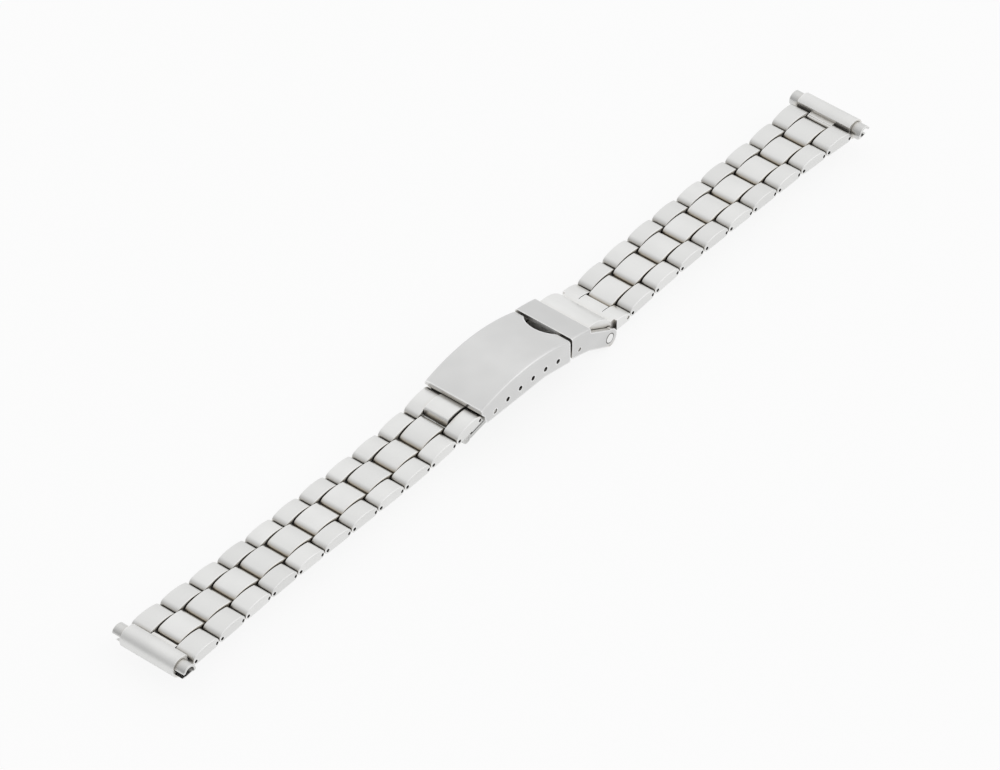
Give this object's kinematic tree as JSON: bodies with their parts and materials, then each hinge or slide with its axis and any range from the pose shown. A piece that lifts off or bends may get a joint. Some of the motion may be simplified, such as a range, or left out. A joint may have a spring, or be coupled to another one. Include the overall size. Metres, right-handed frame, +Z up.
{
  "type": "watch bracelet",
  "caption": "Three-row steel watch bracelet with hinged links, a folding clasp, a flip-over safety catch and telescoping spring-bar ends.",
  "frame": {"origin": "centre of the bounding box at the floor", "axes": "+X along the bracelet from the long side to the short side, +Y across it, +Z up out of the face that shows on the wrist"},
  "size_m": [0.167, 0.0144, 0.0093],
  "materials": {
    "link_steel": "satin brushed",
    "cover_steel": "fine satin",
    "inner_steel": "plain pressed steel"
  },
  "bodies": {
    "clasp_base": {"lower_blade": "inner_steel", "blade_hinge_pin": "inner_steel", "locating_stud": "inner_steel", "end_plate": "link_steel", "catch_rivets": "inner_steel"},
    "middle_blade": {"middle_blade": "inner_steel", "cover_hinge_pin": "inner_steel"},
    "clasp_cover": {"clasp_cover": "cover_steel"},
    "safety_catch": {"safety_catch": "cover_steel"},
    "clasp_link": {"clasp_link": "link_steel", "spring_bar_tube": "inner_steel", "spring_bar_spring": "inner_steel"},
    "bar_tip_rear": {"spring_bar_tip_rear": "inner_steel"},
    "bar_tip_front": {"spring_bar_tip_front": "inner_steel"},
    "left_outer_1": {"left_outer_1": "link_steel"},
    "left_centre_1": {"left_centre_1": "link_steel"},
    "left_outer_2": {"left_outer_2": "link_steel"},
    "left_centre_2": {"left_centre_2": "link_steel"},
    "left_outer_3": {"left_outer_3": "link_steel"},
    "left_centre_3": {"left_centre_3": "link_steel"},
    "left_outer_4": {"left_outer_4": "link_steel"},
    "left_centre_4": {"left_centre_4": "link_steel"},
    "left_outer_5": {"left_outer_5": "link_steel"},
    "left_centre_5": {"left_centre_5": "link_steel"},
    "left_outer_6": {"left_outer_6": "link_steel"},
    "left_centre_6": {"left_centre_6": "link_steel"},
    "left_outer_7": {"left_outer_7": "link_steel"},
    "left_centre_7": {"left_centre_7": "link_steel"},
    "left_outer_8": {"left_outer_8": "link_steel"},
    "left_centre_8": {"left_centre_8": "link_steel"},
    "left_outer_9": {"left_outer_9": "link_steel"},
    "left_centre_9": {"left_centre_9": "link_steel"},
    "left_outer_10": {"left_outer_10": "link_steel"},
    "left_centre_10": {"left_centre_10": "link_steel"},
    "left_outer_11": {"left_outer_11": "link_steel"},
    "right_centre_1": {"right_centre_1": "link_steel"},
    "right_outer_1": {"right_outer_1": "link_steel"},
    "right_centre_2": {"right_centre_2": "link_steel"},
    "right_outer_2": {"right_outer_2": "link_steel"},
    "right_centre_3": {"right_centre_3": "link_steel"},
    "right_outer_3": {"right_outer_3": "link_steel"},
    "right_centre_4": {"right_centre_4": "link_steel"},
    "right_outer_4": {"right_outer_4": "link_steel"},
    "right_centre_5": {"right_centre_5": "link_steel"},
    "right_outer_5": {"right_outer_5": "link_steel"},
    "right_centre_6": {"right_centre_6": "link_steel"},
    "right_outer_6": {"right_outer_6": "link_steel"},
    "right_centre_7": {"right_centre_7": "link_steel"},
    "right_outer_7": {"right_outer_7": "link_steel"},
    "right_centre_8": {"right_centre_8": "link_steel"},
    "right_outer_8": {"right_outer_8": "link_steel"},
    "right_centre_9": {"right_centre_9": "link_steel"},
    "right_outer_9": {"right_outer_9": "link_steel"},
    "left_end_shell": {"left_end_shell": "link_steel"},
    "left_insert_rear": {"left_insert_rear": "inner_steel"},
    "left_insert_front": {"left_insert_front": "inner_steel"},
    "right_end_shell": {"right_end_shell": "link_steel"},
    "right_insert_rear": {"right_insert_rear": "inner_steel"},
    "right_insert_front": {"right_insert_front": "inner_steel"}
  },
  "joints": [
    {"name": "blade_unfold", "type": "hinge", "parent": "clasp_base", "child": "middle_blade", "pos_m": [-0.01412, 0, 0.00225], "axis": [0, -1, 0], "range_deg": [0, 150]},
    {"name": "cover_unfold", "type": "hinge", "parent": "middle_blade", "child": "clasp_cover", "pos_m": [0.00823, 0, 0.00585], "axis": [0, 1, 0], "range_deg": [0, 150]},
    {"name": "catch_flip", "type": "hinge", "parent": "clasp_base", "child": "safety_catch", "pos_m": [0.01873, 0, 0.0017], "axis": [0, 1, 0], "range_deg": [0, 75]},
    {"name": "left_insert_rear_slide", "type": "slide", "parent": "left_end_shell", "child": "left_insert_rear", "axis": [0, 1, 0], "range_m": [-0.0011, 0.0011]},
    {"name": "left_insert_front_slide", "type": "slide", "parent": "left_end_shell", "child": "left_insert_front", "axis": [0, -1, 0], "range_m": [-0.0011, 0.0011]},
    {"name": "right_insert_rear_slide", "type": "slide", "parent": "right_end_shell", "child": "right_insert_rear", "axis": [0, 1, 0], "range_m": [-0.0011, 0.0011]},
    {"name": "right_insert_front_slide", "type": "slide", "parent": "right_end_shell", "child": "right_insert_front", "axis": [0, -1, 0], "range_m": [-0.0011, 0.0011]},
    {"name": "bar_tip_rear_press", "type": "slide", "parent": "clasp_link", "child": "bar_tip_rear", "axis": [0, -1, 0], "range_m": [0, 0.0009], "stiffness_N_per_m": 100, "deforming": ["spring_bar_spring"]},
    {"name": "bar_tip_front_press", "type": "slide", "parent": "clasp_link", "child": "bar_tip_front", "axis": [0, 1, 0], "range_m": [0, 0.0009], "stiffness_N_per_m": 100, "deforming": ["spring_bar_spring"]},
    {"name": "clasp_link_hinge", "type": "hinge", "parent": "clasp_cover", "child": "clasp_link", "pos_m": [-0.00922, 0, 0.00554], "axis": [0, -1, 0], "range_deg": [-1, 8]},
    {"name": "left_outer_11_hinge", "type": "hinge", "parent": "clasp_link", "child": "left_outer_11", "pos_m": [-0.01252, 0, 0.00568], "axis": [0, -1, 0], "range_deg": [-5, 10]},
    {"name": "left_centre_10_hinge", "type": "hinge", "parent": "left_outer_11", "child": "left_centre_10", "pos_m": [-0.01739, 0, 0.00473], "axis": [0, -1, 0], "range_deg": [-5, 10]},
    {"name": "left_outer_10_hinge", "type": "hinge", "parent": "left_centre_10", "child": "left_outer_10", "pos_m": [-0.01861, 0, 0.00455], "axis": [0, -1, 0], "range_deg": [-5, 10]},
    {"name": "left_centre_9_hinge", "type": "hinge", "parent": "left_outer_10", "child": "left_centre_9", "pos_m": [-0.02355, 0, 0.00408], "axis": [0, -1, 0], "range_deg": [-5, 10]},
    {"name": "left_outer_9_hinge", "type": "hinge", "parent": "left_centre_9", "child": "left_outer_9", "pos_m": [-0.02479, 0, 0.00401], "axis": [0, -1, 0], "range_deg": [-5, 10]},
    {"name": "left_centre_8_hinge", "type": "hinge", "parent": "left_outer_9", "child": "left_centre_8", "pos_m": [-0.02975, 0, 0.00386], "axis": [0, -1, 0], "range_deg": [-5, 10]},
    {"name": "left_outer_8_hinge", "type": "hinge", "parent": "left_centre_8", "child": "left_outer_8", "pos_m": [-0.03099, 0, 0.00386], "axis": [0, -1, 0], "range_deg": [-5, 10]},
    {"name": "left_centre_7_hinge", "type": "hinge", "parent": "left_outer_8", "child": "left_centre_7", "pos_m": [-0.03595, 0, 0.00386], "axis": [0, -1, 0], "range_deg": [-5, 10]},
    {"name": "left_outer_7_hinge", "type": "hinge", "parent": "left_centre_7", "child": "left_outer_7", "pos_m": [-0.03719, 0, 0.00386], "axis": [0, -1, 0], "range_deg": [-5, 10]},
    {"name": "left_centre_6_hinge", "type": "hinge", "parent": "left_outer_7", "child": "left_centre_6", "pos_m": [-0.04215, 0, 0.00386], "axis": [0, -1, 0], "range_deg": [-5, 10]},
    {"name": "left_outer_6_hinge", "type": "hinge", "parent": "left_centre_6", "child": "left_outer_6", "pos_m": [-0.04339, 0, 0.00386], "axis": [0, -1, 0], "range_deg": [-5, 10]},
    {"name": "left_centre_5_hinge", "type": "hinge", "parent": "left_outer_6", "child": "left_centre_5", "pos_m": [-0.04835, 0, 0.00386], "axis": [0, -1, 0], "range_deg": [-5, 10]},
    {"name": "left_outer_5_hinge", "type": "hinge", "parent": "left_centre_5", "child": "left_outer_5", "pos_m": [-0.04959, 0, 0.00386], "axis": [0, -1, 0], "range_deg": [-5, 10]},
    {"name": "left_centre_4_hinge", "type": "hinge", "parent": "left_outer_5", "child": "left_centre_4", "pos_m": [-0.05455, 0, 0.00386], "axis": [0, -1, 0], "range_deg": [-5, 10]},
    {"name": "left_outer_4_hinge", "type": "hinge", "parent": "left_centre_4", "child": "left_outer_4", "pos_m": [-0.05579, 0, 0.00386], "axis": [0, -1, 0], "range_deg": [-5, 10]},
    {"name": "left_centre_3_hinge", "type": "hinge", "parent": "left_outer_4", "child": "left_centre_3", "pos_m": [-0.06075, 0, 0.00386], "axis": [0, -1, 0], "range_deg": [-5, 10]},
    {"name": "left_outer_3_hinge", "type": "hinge", "parent": "left_centre_3", "child": "left_outer_3", "pos_m": [-0.06199, 0, 0.00386], "axis": [0, -1, 0], "range_deg": [-5, 10]},
    {"name": "left_centre_2_hinge", "type": "hinge", "parent": "left_outer_3", "child": "left_centre_2", "pos_m": [-0.06695, 0, 0.00386], "axis": [0, -1, 0], "range_deg": [-5, 10]},
    {"name": "left_outer_2_hinge", "type": "hinge", "parent": "left_centre_2", "child": "left_outer_2", "pos_m": [-0.06819, 0, 0.00386], "axis": [0, -1, 0], "range_deg": [-5, 10]},
    {"name": "left_centre_1_hinge", "type": "hinge", "parent": "left_outer_2", "child": "left_centre_1", "pos_m": [-0.07315, 0, 0.00386], "axis": [0, -1, 0], "range_deg": [-5, 10]},
    {"name": "left_outer_1_hinge", "type": "hinge", "parent": "left_centre_1", "child": "left_outer_1", "pos_m": [-0.07439, 0, 0.00386], "axis": [0, -1, 0], "range_deg": [-5, 10]},
    {"name": "left_end_hinge", "type": "hinge", "parent": "left_outer_1", "child": "left_end_shell", "pos_m": [-0.07935, 0, 0.00386], "axis": [0, -1, 0], "range_deg": [-5, 10]},
    {"name": "right_centre_1_hinge", "type": "hinge", "parent": "clasp_base", "child": "right_centre_1", "pos_m": [0.0236, 0, 0.00259], "axis": [0, 1, 0], "range_deg": [-5, 10]},
    {"name": "right_outer_1_hinge", "type": "hinge", "parent": "right_centre_1", "child": "right_outer_1", "pos_m": [0.02483, 0, 0.00273], "axis": [0, 1, 0], "range_deg": [-5, 10]},
    {"name": "right_centre_2_hinge", "type": "hinge", "parent": "right_outer_1", "child": "right_centre_2", "pos_m": [0.02977, 0, 0.00321], "axis": [0, 1, 0], "range_deg": [-5, 10]},
    {"name": "right_outer_2_hinge", "type": "hinge", "parent": "right_centre_2", "child": "right_outer_2", "pos_m": [0.031, 0, 0.00332], "axis": [0, 1, 0], "range_deg": [-5, 10]},
    {"name": "right_centre_3_hinge", "type": "hinge", "parent": "right_outer_2", "child": "right_centre_3", "pos_m": [0.03595, 0, 0.00365], "axis": [0, 1, 0], "range_deg": [-5, 10]},
    {"name": "right_outer_3_hinge", "type": "hinge", "parent": "right_centre_3", "child": "right_outer_3", "pos_m": [0.03719, 0, 0.00371], "axis": [0, 1, 0], "range_deg": [-5, 10]},
    {"name": "right_centre_4_hinge", "type": "hinge", "parent": "right_outer_3", "child": "right_centre_4", "pos_m": [0.04215, 0, 0.00385], "axis": [0, 1, 0], "range_deg": [-5, 10]},
    {"name": "right_outer_4_hinge", "type": "hinge", "parent": "right_centre_4", "child": "right_outer_4", "pos_m": [0.04339, 0, 0.00386], "axis": [0, 1, 0], "range_deg": [-5, 10]},
    {"name": "right_centre_5_hinge", "type": "hinge", "parent": "right_outer_4", "child": "right_centre_5", "pos_m": [0.04835, 0, 0.00386], "axis": [0, 1, 0], "range_deg": [-5, 10]},
    {"name": "right_outer_5_hinge", "type": "hinge", "parent": "right_centre_5", "child": "right_outer_5", "pos_m": [0.04959, 0, 0.00386], "axis": [0, 1, 0], "range_deg": [-5, 10]},
    {"name": "right_centre_6_hinge", "type": "hinge", "parent": "right_outer_5", "child": "right_centre_6", "pos_m": [0.05455, 0, 0.00386], "axis": [0, 1, 0], "range_deg": [-5, 10]},
    {"name": "right_outer_6_hinge", "type": "hinge", "parent": "right_centre_6", "child": "right_outer_6", "pos_m": [0.05579, 0, 0.00386], "axis": [0, 1, 0], "range_deg": [-5, 10]},
    {"name": "right_centre_7_hinge", "type": "hinge", "parent": "right_outer_6", "child": "right_centre_7", "pos_m": [0.06075, 0, 0.00386], "axis": [0, 1, 0], "range_deg": [-5, 10]},
    {"name": "right_outer_7_hinge", "type": "hinge", "parent": "right_centre_7", "child": "right_outer_7", "pos_m": [0.06199, 0, 0.00386], "axis": [0, 1, 0], "range_deg": [-5, 10]},
    {"name": "right_centre_8_hinge", "type": "hinge", "parent": "right_outer_7", "child": "right_centre_8", "pos_m": [0.06695, 0, 0.00386], "axis": [0, 1, 0], "range_deg": [-5, 10]},
    {"name": "right_outer_8_hinge", "type": "hinge", "parent": "right_centre_8", "child": "right_outer_8", "pos_m": [0.06819, 0, 0.00386], "axis": [0, 1, 0], "range_deg": [-5, 10]},
    {"name": "right_centre_9_hinge", "type": "hinge", "parent": "right_outer_8", "child": "right_centre_9", "pos_m": [0.07315, 0, 0.00386], "axis": [0, 1, 0], "range_deg": [-5, 10]},
    {"name": "right_outer_9_hinge", "type": "hinge", "parent": "right_centre_9", "child": "right_outer_9", "pos_m": [0.07439, 0, 0.00386], "axis": [0, 1, 0], "range_deg": [-5, 10]},
    {"name": "right_end_hinge", "type": "hinge", "parent": "right_outer_9", "child": "right_end_shell", "pos_m": [0.07935, 0, 0.00386], "axis": [0, 1, 0], "range_deg": [-5, 10]}
  ],
  "couplings": [
    {"joint": "cover_unfold", "follows": "blade_unfold", "ratio": 1}
  ]
}
